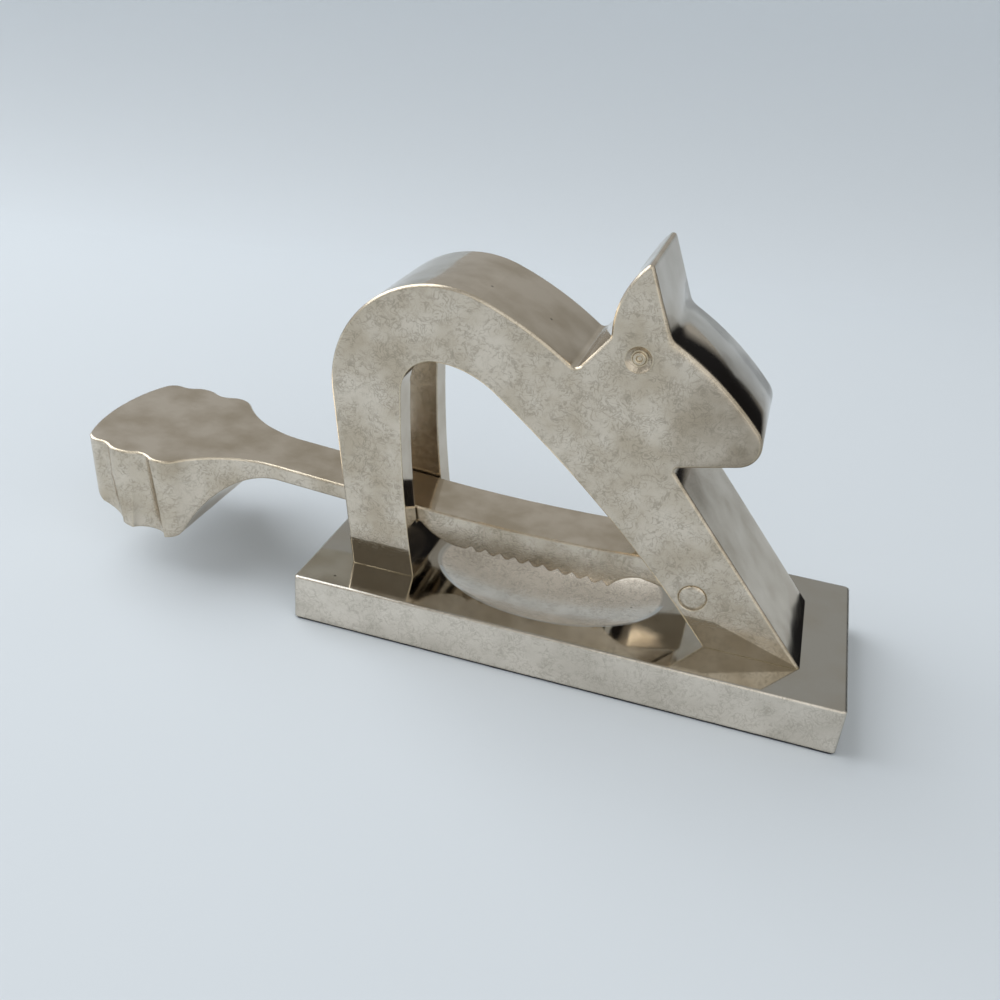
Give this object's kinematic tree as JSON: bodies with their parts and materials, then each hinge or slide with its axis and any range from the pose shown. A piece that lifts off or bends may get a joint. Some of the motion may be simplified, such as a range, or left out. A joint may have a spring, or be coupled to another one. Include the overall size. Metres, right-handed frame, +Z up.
{
  "type": "lever nutcracker press",
  "caption": "Squirrel-shaped table nutcracker: arched casting on a dished base plate, with a toothed lever whose fan-shaped tail is pressed down to crack the nut.",
  "frame": {"origin": "middle of the felt's underside, which rests on the table", "axes": "+X along the base towards the squirrel's head, +Y across it, +Z up"},
  "size_m": [0.2532, 0.07, 0.1268],
  "materials": {
    "nickel_plate": "polished nickel plate with fine scratches",
    "screw_steel": "plain turned steel",
    "felt": "dark pressed felt"
  },
  "bodies": {
    "stand": {"base_plate": "nickel_plate", "squirrel_frame": "nickel_plate", "felt_pad": "felt", "pivot_pin": "nickel_plate", "base_screws": "screw_steel"},
    "lever": {"tail_lever": "nickel_plate"}
  },
  "joints": [
    {"name": "lever_hinge", "type": "hinge", "parent": "stand", "child": "lever", "pos_m": [0.0364, 0, 0.0316], "axis": [0, 1, 0], "range_deg": [0, 28]}
  ]
}
